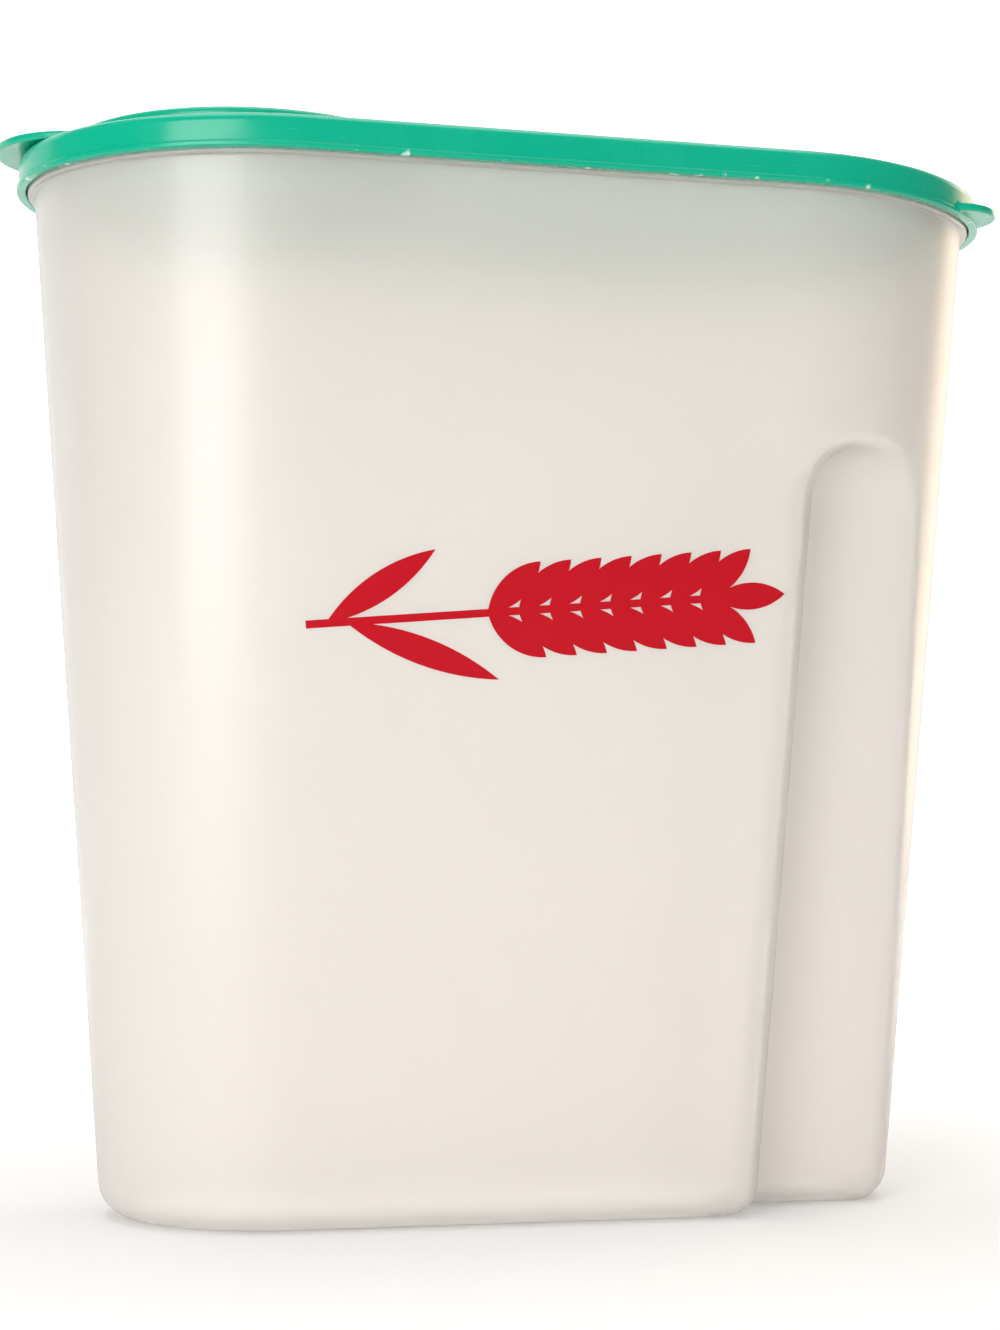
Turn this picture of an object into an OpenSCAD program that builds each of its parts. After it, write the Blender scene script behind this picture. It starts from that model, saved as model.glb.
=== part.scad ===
// Tall tapered cereal container with a push-on lid and a round flip spout.
// Millimetres, +Z up. The origin is the middle of the base, on the floor.
// +X is the grip end, -X is the pouring end and -Y is the printed front.
// The skirt line is the height of the lid's lower edge. Plan sizes of the body are taken there.

/* [Body] */
// Length of the body at the skirt line
body_l = 257; // [225:1:300]
// Width of the body at the skirt line
body_w = 114; // [100:1:130]
// Height of the skirt line above the floor
skirt_z = 270; // [240:1:300]
// Inward run of the walls per unit of depth
draft = 0.0715; // [0.05:0.0005:0.08]
// How much smaller the end's middle arc is than half the width
end_tight = 8; // [4:0.5:12]
// Thickness of the body's wall
wall = 2.2; // [1.6:0.1:3]
// Thickness of the body's floor
floor_t = 2.6; // [2:0.1:4]
// Outer radius where the wall turns into the floor
foot_r = 9; // [6:0.5:12]
// Reach of the rim bead out from the wall
rim_out = 1.7; // [1:0.1:3]
// Height of the rim bead
rim_h = 7; // [5:0.5:9]
// How far the rim bead shows under the skirt line
rim_show = 0.8; // [0.4:0.1:1.5]
// Bevel on the rim bead's edges
rim_bevel = 0.6; // [0.3:0.1:0.8]

/* [Grip] */
// Half thickness of the grip column at the floor
grip_half = 18.5; // [14:0.5:24]
// Outward run of the grip column's faces per unit of height
grip_draft = 0.087; // [0.07:0.001:0.1]
// Distance from the recess's left edge to the body's end, at the floor
grip_foot_x = 67.5; // [60:0.5:72]
// Distance from the recess's left edge to the body's end, where the arch starts
grip_arch_x = 58; // [50:0.5:62]
// Radius of the recess's arched top
arch_r = 18.2; // [16:0.1:20]
// Height of the arched top's highest point
arch_top = 207.5; // [170:0.5:225]
// Radius where the recess's ceiling turns into its back
ceiling_r = 16; // [8:0.5:17]

/* [Print] */
// Height of the print's middle above the floor
print_z = 160; // [140:1:180]
// Overall length of the printed sprig
print_l = 126; // [90:1:135]
// Thickness of the ink
print_t = 0.15; // [0.1:0.01:0.3]
// Clearance between the ink and the wall
print_gap = 0.03; // [0.02:0.01:0.05]
// Pairs of grains on the sprig
grain_pairs = 8; // [5:1:10]
// Length of a grain
grain_l = 19; // [14:0.5:22]
// Width of a grain
grain_w = 7; // [4:0.1:8]
// Lean of a grain away from the stem
grain_lean = 40; // [30:1:50]
// Length of the longer leaf
leaf_l = 42; // [30:1:46]
// Width of the stem
stem_w = 2; // [1:0.1:3]
// Tilt of the whole sprig
print_tilt = 5; // [0:1:8]

/* [Lid] */
// Clearance between the rim bead and the skirt
rim_gap = 0.4; // [0.3:0.05:0.8]
// Thickness of the skirt
skirt_t = 2; // [1.5:0.1:3]
// Height of the lid above the skirt line
lid_h = 8.7; // [8:0.1:11]
// Reach of the bead along the skirt's lower edge
bead_out = 0.5; // [0.2:0.1:0.8]
// Height of the bead along the skirt's lower edge
bead_h = 1.6; // [1:0.1:2.5]
// Radius of the lid's upper edge
edge_r = 2.4; // [1:0.1:3]
// Clearance over the top of the rim
roof_gap = 0.25; // [0.2:0.05:0.5]
// Clearance between the seal ring and the inside of the body
seal_gap = 0.5; // [0.3:0.05:1]
// Thickness of the seal ring
seal_t = 1.8; // [1.2:0.1:2.5]
// Depth of the seal ring below the lid's top
seal_d = 7.9; // [5:0.1:10]
// Depth of the panel below the lid's top
panel_drop = 1.7; // [1:0.1:2.5]
// Thickness of the panel
panel_t = 2; // [1.5:0.1:3]
// Radius of the round lift tab
lift_r = 13; // [9:0.5:16]
// Reach of the lift tab beyond the skirt
lift_out = 6.5; // [4:0.5:8]
// Thickness of the lift tab
lift_t = 2; // [1.5:0.1:3]
// Height of the lift tab above the skirt line
lift_up = 1; // [0.5:0.1:3]
// Angle of the lift tab from the grip end towards the front
lift_angle = 37; // [0:1:42]

/* [Spout] */
// Distance from the end arc's centre to the middle of the pour opening
spout_in = 8; // [5:0.5:12]
// Distance from the cap's edge in to the pour opening
spout_edge = 6.5; // [5.5:0.1:9]
// Thickness of the collar round the opening
collar_t = 2; // [1.5:0.1:2.5]
// Depth of the collar below the lid's top
collar_d = 14; // [8:0.5:20]

/* [Cap] */
// Clearance at the sides between the flip cap and the lid's raised edge
cap_side = 2.5; // [1:0.1:4]
// Height of the flip cap above the lid's top
cap_h = 4; // [3.5:0.1:6]
// Thickness of the cap's top
cap_t = 1.7; // [1.3:0.1:2]
// Thickness of the cap's skirt
cap_skirt_t = 1.8; // [1.4:0.1:2.2]
// Radius of the cap's upper edge
cap_edge_r = 1.5; // [0.5:0.1:2]
// Clearance under the cap and between its top and the collar
cap_gap = 0.4; // [0.3:0.05:0.6]
// Clearance between the cap's plug ring and the opening
plug_gap = 0.4; // [0.3:0.05:0.6]
// Thickness of the plug ring
plug_t = 1.6; // [1.2:0.1:2]
// Depth of the plug ring below the cap's top plate
plug_d = 4.5; // [3:0.5:6]
// Radius of the thumb tab
thumb_r = 22; // [16:0.5:26]
// Reach of the thumb tab beyond the lid's skirt
thumb_out = 6; // [3:0.5:12]
// Thickness of the thumb tab
thumb_t = 2; // [1.5:0.1:2.2]

/* [Hinge] */
// Distance from the cap's edge to the hinge line
hinge_out = 6; // [5:0.5:8]
// Radius of the hinge barrel
barrel_r = 2.4; // [2:0.1:3]
// Half length of the hinge barrel
barrel_half = 13.5; // [9:0.5:18]
// Radius of the trunnions at the barrel's ends
pin_r = 1.5; // [1.2:0.1:1.8]
// Radial clearance between a trunnion and its hole
pin_gap = 0.08; // [0.05:0.01:0.1]
// Gap between the barrel's end and its post
post_gap = 0.4; // [0.3:0.05:0.6]
// Thickness of a hinge post
post_t = 4; // [3:0.5:5]
// Wall of a post round its hole
post_wall = 1.9; // [1.5:0.1:2.2]
// Clearance between the barrel and the panel
barrel_gap = 1; // [0.8:0.1:1.6]
// Thickness of the arm between cap and barrel
arm_t = 2.2; // [1.6:0.1:3]

/* [Hidden] */
$fn = 120;
natural = "#ece4da";
green = "#00b28c";
red = "#c4031e";
over = 1;
seam_reach = 100;
arc_steps = 8;

// Plan of the body at the skirt line: straight sides, then two shoulder arcs and a middle arc per end.
// The centres of the arcs lie on a 3-4-5 triangle and on a grid, and so do distances from the plan,
// so that the pieces of a wall end on exactly the same points.
grid = 0.125;
fine_grid = 0.001;
half_w = on_grid(body_w / 2, grid);
half_l = on_grid(body_l / 2, grid);
seam_unit = on_grid(end_tight / 2, grid);
end_r = half_w - 2 * seam_unit;
end_x = half_l - end_r;
shoulder_r = end_r + 5 * seam_unit;
side_x = end_x - 4 * seam_unit;
shoulder_y = 3 * seam_unit;

// Walls. slant turns a thickness square to a drafted wall into one along the plan.
slant = sqrt(1 + draft * draft);
function wall_at(z) = -draft * (skirt_z - z);
rim_bottom = skirt_z - rim_show;
rim_top = rim_bottom + rim_h;

// Grip recess
grip_slant = sqrt(1 + grip_draft * grip_draft);
function grip_at(z) = grip_half + grip_draft * z;
arch_z = arch_top - arch_r;
arch_left = half_l - grip_arch_x;
foot_left = half_l - grip_foot_x;
ceiling_z = arch_top - ceiling_r;
ceiling_y = -grip_at(ceiling_z) - ceiling_r * grip_slant;
grip_foot_y = -grip_at(foot_r) + foot_r * grip_slant;

// Lid levels and offsets from the body's plan
lid_top = skirt_z + lid_h;
skirt_in = rim_out + rim_gap;
skirt_out = skirt_in + skirt_t;
roof_z = rim_top + roof_gap;
seal_out = -wall * slant - seal_gap;
seal_in = seal_out - seal_t;
seal_bottom = lid_top - seal_d;
panel_top = lid_top - panel_drop;
lift_x = end_x + (end_r + skirt_out + lift_out - lift_r) * cos(lift_angle);
lift_y = -(end_r + skirt_out + lift_out - lift_r) * sin(lift_angle);

// Spout and cap
spout_x = -(end_x - spout_in);
cap_r = half_w + seal_in - cap_side;
spout_r = cap_r - spout_edge;
collar_out = spout_r + collar_t;
cap_top = lid_top + cap_h;
cap_plate = cap_top - cap_t;
collar_top = cap_plate - cap_gap;
cap_bottom = panel_top + cap_gap;
cap_in = cap_r - cap_skirt_t;
plug_out = spout_r - plug_gap;
thumb_bottom = lid_top + cap_gap;
thumb_x = -(half_l + skirt_out + thumb_out - thumb_r);

// Hinge
hinge_x = spout_x + cap_r + hinge_out;
hinge_z = panel_top + barrel_gap + barrel_r;
post_in = barrel_half + post_gap;
post_out = post_in + post_t;
hole_r = pin_r + pin_gap;
post_r = hole_r + post_wall;

function on_grid(v, step) = round(v / step) * step;

// Points of an arc about [x, y] from angle a to angle b
function arc(x, y, r, a, b, n = arc_steps) =
    [for (i = [0:n]) let (t = a + (b - a) * i / n) [x + r * cos(t), y + r * sin(t)]];

// Outline of a drafted wall set in by t, with a radius r above a floor at height z0: [offset, z] points
function bowl(t, z0, r, z1) = concat(
    arc(wall_at(z0 + r) - (t + r) * slant, z0 + r, r, -90, -atan(draft)),
    [[wall_at(z1) - t * slant, z1]]
);

function reversed(pts) = [for (i = [len(pts) - 1:-1:0]) pts[i]];

// An outline of [offset, z] points moved out to a radius r, and the same closed to the axis
function moved(pts, r) = [for (p = pts) [r + on_grid(p[0], fine_grid), p[1]]];
function closed(pts, r) = concat([[0, pts[0][1]]], moved(pts, r), [[0, pts[len(pts) - 1][1]]]);

// A stretch of an outline turned about [x, y], cut to a wedge of the plan
module turned(x, y, sweep, pts, wedge) {
    intersection() {
        translate([x, y, 0])
            rotate([0, 0, -90])
                rotate_extrude(angle = sweep)
                    polygon(pts);
        translate([0, 0, -over])
            linear_extrude(height = 2 * skirt_z)
                polygon(wedge);
    }
}

// The curved end of a form that follows the body's plan, at the +X end
module plan_end(pts, full) {
    far = [end_x + 4 * seam_reach, 3 * seam_reach];
    near = [end_x - 4 * seam_reach, 3 * seam_reach];
    turned(end_x, 0, 180, full ? closed(pts, end_r) : moved(pts, end_r), [[end_x, 0], [far[0], -far[1]], far]);
    for (s = [0, 1])
        mirror([0, s, 0])
            turned(
                side_x, shoulder_y, 90,
                full ? closed(pts, shoulder_r) : moved(pts, shoulder_r),
                [near, [near[0], -far[1]], [far[0], -far[1]]]
            );
}

// A form that follows the body's plan. pts are [offset from the plan, z]
module around(pts, full = false) {
    plan_end(pts, full);
    mirror([1, 0, 0]) plan_end(pts, full);
    for (s = [0, 1])
        mirror([0, s, 0])
            rotate([90, 0, 90])
                linear_extrude(height = 2 * side_x, center = true)
                    polygon(full ? closed(pts, half_w) : moved(pts, half_w));
}

// Cutter for the grip recess on the front, grown by g
module grip_cut(g) {
    right = arch_left + 2 * arch_r + g;
    intersection() {
        rotate([90, 0, 0])
            linear_extrude(height = body_w)
                union() {
                    translate([arch_left + arch_r, arch_z]) circle(r = arch_r + g);
                    polygon([[foot_left - g, -foot_r], [arch_left - g, arch_z], [right, arch_z], [right, -foot_r]]);
                }
        rotate([90, 0, 90])
            linear_extrude(height = body_l)
                polygon(concat(
                    [[-body_w, -foot_r], [grip_foot_y, -foot_r]],
                    arc(grip_foot_y, foot_r, foot_r - g, -90, -180 + atan(grip_draft)),
                    arc(ceiling_y, ceiling_z, ceiling_r + g, atan(grip_draft), 90),
                    [[-body_w, arch_top + g]]
                ));
    }
}

module both_sides() {
    children();
    mirror([0, 1, 0]) children();
}

// Section of the body's wall, rim bead and floor
function shell() = concat(
    bowl(0, 0, foot_r, rim_bottom),
    [
        [rim_out - rim_bevel, rim_bottom],
        [rim_out, rim_bottom + rim_bevel],
        [rim_out, rim_top - rim_bevel],
        [rim_out - rim_bevel, rim_top]
    ],
    reversed(bowl(wall, floor_t, foot_r - wall, rim_top))
);

module container() {
    color(natural) {
        difference() {
            around(shell(), true);
            both_sides() grip_cut(0);
        }
        intersection() {
            around(bowl(0, 0, foot_r, rim_bottom), true);
            both_sides()
                difference() {
                    grip_cut(wall);
                    grip_cut(0);
                }
        }
    }
}

// A pointed leaf that starts at the origin and runs along +X
module leaf(l, w) {
    r = (l * l + w * w) / (4 * w);
    intersection() {
        translate([l / 2, r - w / 2]) circle(r = r);
        translate([l / 2, w / 2 - r]) circle(r = r);
    }
}

module sprig() {
    half = print_l / 2;
    last = half - grain_l;
    step = (print_l - grain_l) * 0.6 / grain_pairs;
    translate([-half, -stem_w / 2]) square([print_l - grain_l + step, stem_w]);
    translate([last, 0]) leaf(grain_l, grain_w);
    for (i = [1:grain_pairs], s = [-1, 1])
        translate([last + grain_l * 0.2 - i * step, 0])
            rotate([0, 0, s * grain_lean])
                leaf(grain_l, grain_w);
    translate([-half + leaf_l * 0.12, 0]) rotate([0, 0, grain_lean * 0.75]) leaf(leaf_l * 0.8, grain_w);
    translate([-half + leaf_l * 0.24, 0]) rotate([0, 0, -grain_lean * 0.6]) leaf(leaf_l, grain_w);
}

module front_print() {
    color(red)
        translate([0, -(half_w + wall_at(print_z) + print_gap), print_z])
            rotate([90 + atan(draft), 0, 0])
                linear_extrude(height = print_t)
                    rotate([0, 0, print_tilt])
                        sprig();
}

// The skirt, the channel over the rim and the seal ring, as [offset, z] points
function lid_ring() = concat(
    [
        [skirt_in, skirt_z],
        [skirt_out + bead_out, skirt_z],
        [skirt_out + bead_out, skirt_z + bead_h - bead_out],
        [skirt_out, skirt_z + bead_h]
    ],
    arc(skirt_out - edge_r, lid_top - edge_r, edge_r, 0, 90, 5),
    [
        [seal_in, lid_top],
        [seal_in, seal_bottom],
        [seal_out, seal_bottom],
        [seal_out, roof_z],
        [skirt_in, roof_z]
    ]
);

module hinge_posts() {
    for (s = [-1, 1])
        translate([hinge_x, s > 0 ? post_in : -post_out, 0])
            difference() {
                union() {
                    translate([0, 0, hinge_z]) rotate([-90, 0, 0]) cylinder(r = post_r, h = post_t);
                    translate([-post_r, 0, panel_top - panel_t / 2])
                        cube([2 * post_r, post_t, hinge_z - panel_top + panel_t / 2]);
                }
                translate([0, -over, hinge_z])
                    rotate([-90, 0, 0])
                        cylinder(r = hole_r, h = post_t + 2 * over);
            }
}

module lid() {
    panel_edge = (seal_in + seal_out) / 2;
    color(green)
        union() {
            around(lid_ring());
            difference() {
                around([[panel_edge, panel_top - panel_t], [panel_edge, panel_top]], true);
                translate([spout_x, 0, lid_top - collar_d])
                    cylinder(r = (spout_r + collar_out) / 2, h = collar_d + over);
            }
            translate([spout_x, 0, 0])
                rotate_extrude()
                    translate([spout_r, lid_top - collar_d])
                        square([collar_t, collar_top - lid_top + collar_d]);
            difference() {
                translate([lift_x, lift_y, skirt_z + lift_up]) cylinder(r = lift_r, h = lift_t);
                around([[skirt_in + skirt_t / 2, skirt_z], [skirt_in + skirt_t / 2, lid_top]], true);
            }
            hinge_posts();
        }
}

// Section of the flip cap from its axis outwards
function cap_section() = concat(
    [
        [0, cap_plate],
        [plug_out - plug_t, cap_plate],
        [plug_out - plug_t, cap_plate - plug_d],
        [plug_out, cap_plate - plug_d],
        [plug_out, cap_plate],
        [cap_in, cap_plate],
        [cap_in, cap_bottom],
        [cap_r, cap_bottom]
    ],
    arc(cap_r - cap_edge_r, cap_top - cap_edge_r, cap_edge_r, 0, 90, 5),
    [[0, cap_top]]
);

module flip_cap() {
    mid_r = (cap_in + cap_r) / 2;
    color(green)
        union() {
            translate([spout_x, 0, 0]) rotate_extrude() polygon(cap_section());
            difference() {
                union() {
                    translate([thumb_x, 0, thumb_bottom]) cylinder(r = thumb_r, h = thumb_t);
                    translate([hinge_x - hinge_out - barrel_half, -barrel_half, hinge_z - arm_t / 2])
                        cube([hinge_out + barrel_half, 2 * barrel_half, arm_t]);
                }
                translate([spout_x, 0, cap_bottom]) cylinder(r = mid_r, h = cap_top - cap_bottom);
            }
            translate([hinge_x, -barrel_half, hinge_z])
                rotate([-90, 0, 0])
                    cylinder(r = barrel_r, h = 2 * barrel_half);
            translate([hinge_x, -post_out, hinge_z])
                rotate([-90, 0, 0])
                    cylinder(r = pin_r, h = 2 * post_out);
        }
}

container();
front_print();
lid();
flip_cap();
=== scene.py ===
"""Cereal container with a flip spout: its meshes, materials and stage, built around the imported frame.

Laid out as an add-on and run as a script. Sizes are in metres, +Z up, with the origin in the middle of the
base: +X is the grip end, -X the pouring end and -Y the printed front.
"""
import math

import bmesh
import bpy
import numpy as np
from bpy.props import FloatProperty, FloatVectorProperty, PointerProperty
from mathutils import Matrix, Vector


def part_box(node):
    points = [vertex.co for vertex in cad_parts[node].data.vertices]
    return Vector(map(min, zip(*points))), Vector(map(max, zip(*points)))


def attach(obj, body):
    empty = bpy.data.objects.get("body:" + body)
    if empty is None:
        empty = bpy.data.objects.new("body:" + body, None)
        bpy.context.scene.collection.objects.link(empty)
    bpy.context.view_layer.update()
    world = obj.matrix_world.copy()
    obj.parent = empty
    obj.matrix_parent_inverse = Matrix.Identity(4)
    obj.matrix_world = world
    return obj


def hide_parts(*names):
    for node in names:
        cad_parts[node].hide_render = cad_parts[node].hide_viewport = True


bl_info = {
    "name": "Cereal Container",
    "version": (1, 0, 0),
    "blender": (4, 5, 0),
    "location": "View3D > Sidebar > Container",
    "description": "Tapered cereal container with a push-on lid and a round flip spout",
    "category": "Add Mesh",
}

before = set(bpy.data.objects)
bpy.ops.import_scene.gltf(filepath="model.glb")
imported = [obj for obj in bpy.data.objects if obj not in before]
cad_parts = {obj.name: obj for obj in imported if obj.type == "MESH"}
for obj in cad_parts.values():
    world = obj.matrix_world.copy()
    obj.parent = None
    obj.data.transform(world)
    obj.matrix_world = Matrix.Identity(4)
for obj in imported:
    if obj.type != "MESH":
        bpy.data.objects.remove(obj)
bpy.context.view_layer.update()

MM = 0.001
CONTAINER_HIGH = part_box("container")[1]
LID_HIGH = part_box("lid")[1]
WHITE = (1, 1, 1, 1)
FULL_TURN = 2 * math.pi
WELD = 1e-6


def number(name, description, value, **kind):
    """A number property."""
    return FloatProperty(name=name, description=description, default=value, **kind)


def length(name, description, value_mm, low_mm=0.0, high_mm=400.0):
    """A length property, given in millimetres."""
    return number(
        name, description, value_mm * MM, min=low_mm * MM, max=high_mm * MM,
        unit="LENGTH", subtype="DISTANCE", precision=5,
    )


def share(name, description, value):
    """A number property from 0 to 1."""
    return number(name, description, value, min=0.0, max=1.0, subtype="FACTOR")


def colour(name, description, red, green, blue):
    """A colour property, given as it shows on a screen, from 0 to 255."""
    return FloatVectorProperty(
        name=name, description=description, default=[linear(level) for level in (red, green, blue)] + [1.0],
        size=4, min=0.0, max=1.0, subtype="COLOR",
    )


def linear(level):
    """The linear value of a screen level from 0 to 255."""
    c = level / 255
    return c / 12.92 if c <= 0.04045 else ((c + 0.055) / 1.055) ** 2.4


# --- Properties ---


class ContainerSizes(bpy.types.PropertyGroup):
    """Sizes and colour of the tapered body."""

    draft: number("Draft", "Inward run of the walls per unit of depth", 0.0715)
    tight: length("End tightness", "How much smaller the end's middle arc is than half the width", 8)
    wall: length("Wall", "Thickness of the wall", 2.2)
    floor: length("Floor", "Thickness of the floor", 2.6)
    foot: length("Foot radius", "Outer radius where the wall turns into the floor", 9)
    rim_out: length("Rim reach", "Reach of the rim bead out from the wall", 1.7)
    rim_height: length("Rim height", "Height of the rim bead", 7)
    rim_show: length("Rim show", "How far the rim bead shows under the lid's lower edge", 0.8)
    rim_round: length("Rim rounding", "Radius of the rim bead's edges", 0.6)
    grip_half: length("Grip half thickness", "Half thickness of the grip column at the floor", 18.5)
    grip_draft: number("Grip draft", "Outward run of the grip per height", 0.087)
    grip_foot_x: length("Recess at the foot", "From the recess's edge to the body's end, at the foot", 67.5)
    grip_arch_x: length("Recess at the arch", "From the recess's edge to the body's end, at the arch", 58)
    arch: length("Arch radius", "Radius of the recess's arched top", 18.2)
    arch_top: length("Arch top", "Height of the arch's highest point", 207.5)
    ceiling: length("Ceiling radius", "Radius where the recess's ceiling turns into its back", 16)
    lip: length("Lip radius", "Radius of the edge between the wall and the recess", 3.4)
    cove: length("Cove radius", "Radius of the corner between the recess's side and its back", 5)
    cell: length("Mesh cell", "Size of the mesh's cells on the drafted walls", 2, 0.5, 5)
    tint: colour("Plastic", "Colour of the natural plastic", 250, 246, 242)


class LidSizes(bpy.types.PropertyGroup):
    """Sizes and colour of the push-on lid."""

    rim_gap: length("Rim gap", "Clearance between the rim bead and the skirt", 0.4)
    skirt: length("Skirt", "Thickness of the skirt", 2)
    bead_out: length("Bead reach", "Reach of the bead along the skirt's lower edge", 0.5)
    bead_height: length("Bead height", "Height of the bead along the skirt's lower edge", 1.6)
    edge: length("Edge radius", "Radius of the lid's upper edge", 2.4)
    roof_gap: length("Roof gap", "Clearance over the top of the rim", 0.25)
    seal_gap: length("Seal gap", "Clearance between the seal ring and the body", 0.5)
    seal: length("Seal ring", "Thickness of the seal ring", 1.8)
    seal_depth: length("Seal depth", "Depth of the seal ring below the lid's top", 7.9)
    panel_drop: length("Panel drop", "Depth of the panel below the lid's top", 1.7)
    panel: length("Panel", "Thickness of the panel", 2)
    height: length("Lid height", "Height of the lid's top above its lower edge", 8.7)
    lift_radius: length("Lift tab radius", "Radius of the round lift tab", 13)
    lift_out: length("Lift tab reach", "Reach of the lift tab beyond the skirt", 6.5)
    lift_thick: length("Lift tab thickness", "Thickness of the lift tab", 2)
    lift_up: length("Lift tab height", "Height of the lift tab above the lid's lower edge", 1)
    lift_angle: number("Lift tab angle", "From +X towards the front", math.radians(37), subtype="ANGLE")
    spout_in: length("Spout inset", "From the end arc's centre to the middle of the pour opening", 8)
    spout_edge: length("Spout edge", "From the cap's edge in to the pour opening", 6.5)
    collar: length("Collar", "Thickness of the collar round the opening", 2)
    collar_depth: length("Collar depth", "Depth of the collar below the lid's top", 14)
    tint: colour("Green", "Colour of the plastic of the lid and the cap", 0, 174, 138)


class CapSizes(bpy.types.PropertyGroup):
    """Sizes of the flip cap and its hinge."""

    side: length("Side clearance", "Clearance at the sides between the cap and the lid's raised edge", 2.5)
    height: length("Cap height", "Height of the cap above the lid's top", 4)
    plate: length("Plate", "Thickness of the cap's top", 1.7)
    skirt: length("Skirt", "Thickness of the cap's skirt", 1.8)
    edge: length("Edge radius", "Radius of the cap's upper edge", 1.5)
    gap: length("Gap", "Clearance under the cap and over the collar", 0.4)
    plug_gap: length("Plug gap", "Clearance between the plug ring and the opening", 0.4)
    plug: length("Plug ring", "Thickness of the plug ring", 1.6)
    plug_depth: length("Plug depth", "Depth of the plug ring below the cap's plate", 4.5)
    thumb_radius: length("Thumb tab radius", "Radius of the thumb tab", 22)
    thumb_out: length("Thumb tab reach", "Reach of the thumb tab beyond the lid's skirt", 6)
    thumb: length("Thumb tab", "Thickness of the thumb tab", 2)
    hinge_out: length("Hinge distance", "From the cap's edge to the hinge line", 6)
    barrel: length("Barrel radius", "Radius of the hinge barrel", 2.4)
    barrel_half: length("Barrel half length", "Half length of the hinge barrel", 13.5)
    barrel_gap: length("Barrel gap", "Clearance between the barrel and the lid's panel", 1)
    pin: length("Trunnion radius", "Radius of the trunnions at the barrel's ends", 1.5)
    pin_gap: length("Trunnion clearance", "Radial clearance between a trunnion and its hole", 0.08)
    post_gap: length("Post gap", "Gap between the barrel's end and its post", 0.4)
    post: length("Post", "Thickness of a hinge post", 4)
    post_wall: length("Post wall", "Wall of a post round its hole", 1.9)
    arm: length("Arm", "Thickness of the arm between cap and barrel", 2.2)


class PrintLook(bpy.types.PropertyGroup):
    """Colour of the printed sprig."""

    tint: colour("Ink", "Colour of the printed ink", 190, 0, 24)


class StageSizes(bpy.types.PropertyGroup):
    """The floor, the room's light and the camera."""

    eye_x: length("Camera X", "Place of the camera along X", -148, -2000, 2000)
    eye_y: length("Camera Y", "Place of the camera along Y", -639.3, -2000, 2000)
    eye_z: length("Camera Z", "Height of the camera above the floor", 111.4, 0, 2000)
    yaw: number("Yaw", "Turn of the camera from +Y towards +X", 0.2252, subtype="ANGLE")
    roll: number("Roll", "Roll of the camera about its line of sight", 0.0078, subtype="ANGLE")
    lens: number("Lens", "Focal length on a 36 mm high sensor", 64.56)
    shift: number("Shift", "Rise of the lens, in frame heights", 0.1008)
    floor: colour("Floor", "Colour of the floor", 240, 239, 238)
    near_glow: share("Glow near the object", "Glow of the paper near the object, where it is seen", 0.16)
    through_glow: share("Glow through plastic", "Glow of the paper seen through the plastic", 0.88)
    room_light: share("Room light", "Level of the room's light on the object", 0.5)
    room_gloss: share("Room in reflections", "Level of the room where gloss reflects it", 0.16)


class ContainerSettings(bpy.types.PropertyGroup):
    """All the settings of the container."""

    container: PointerProperty(type=ContainerSizes)
    print: PointerProperty(type=PrintLook)
    lid: PointerProperty(type=LidSizes)
    cap: PointerProperty(type=CapSizes)
    stage: PointerProperty(type=StageSizes)


def settings(context):
    """The property groups of the scene."""
    return context.scene.container_settings


# --- Lines that the pieces share ---


class Plan:
    """Plan of the body at the lid's lower edge: straight sides, and three arcs per end."""

    # The end's middle arc and its shoulder arcs meet on a radius with the slope of a 3-4-5 triangle.
    seam = math.atan2(3, 4)

    def __init__(self, sizes, lid):
        unit = sizes.tight / 2
        self.skirt_out = sizes.rim_out + lid.rim_gap + lid.skirt
        self.half_l = LID_HIGH[0] - self.skirt_out - lid.bead_out
        self.half_w = LID_HIGH[1] - self.skirt_out - lid.bead_out
        self.line = CONTAINER_HIGH[2] - sizes.rim_height + sizes.rim_show
        self.end_r = self.half_w - 2 * unit
        self.end_x = self.half_l - self.end_r
        self.shoulder_r = self.end_r + 5 * unit
        self.side_x = self.end_x - 4 * unit
        self.shoulder_y = 3 * unit

    def distance(self, x, y):
        """Signed distance from the plan's outline, negative inside."""
        x = np.abs(x)
        y = np.abs(y)
        middle = np.hypot(x - self.end_x, y) - self.end_r
        shoulder = np.hypot(x - self.side_x, y + self.shoulder_y) - self.shoulder_r
        side = y - self.half_w
        in_middle = y < math.tan(self.seam) * (x - self.end_x)
        return np.where(in_middle, middle, np.where(x > self.side_x, shoulder, side))

    def ring(self, middle_steps=14, shoulder_steps=18, side_steps=16):
        """Points of the outline and its outward normals, once round."""
        quarter = []
        for x, y, radius, start, stop, steps in (
            (self.end_x, 0, self.end_r, 0, self.seam, middle_steps),
            (self.side_x, -self.shoulder_y, self.shoulder_r, self.seam, math.pi / 2, shoulder_steps),
        ):
            for angle in np.linspace(start, stop, steps, endpoint=False):
                normal = np.array([math.cos(angle), math.sin(angle)])
                quarter.append(((x, y) + radius * normal, normal))
        for x in np.linspace(self.side_x, 0, side_steps + 1):
            quarter.append((np.array([x, self.half_w]), np.array([0.0, 1.0])))
        quarters = []
        for signs, backwards in (((1, 1), False), ((-1, 1), True), ((-1, -1), False), ((1, -1), True)):
            turned_over = np.array(quarter) * signs
            quarters.append(turned_over[::-1][:-1] if backwards else turned_over[:-1])
        ring = np.concatenate(quarters)
        return ring[:, 0], ring[:, 1]


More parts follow.
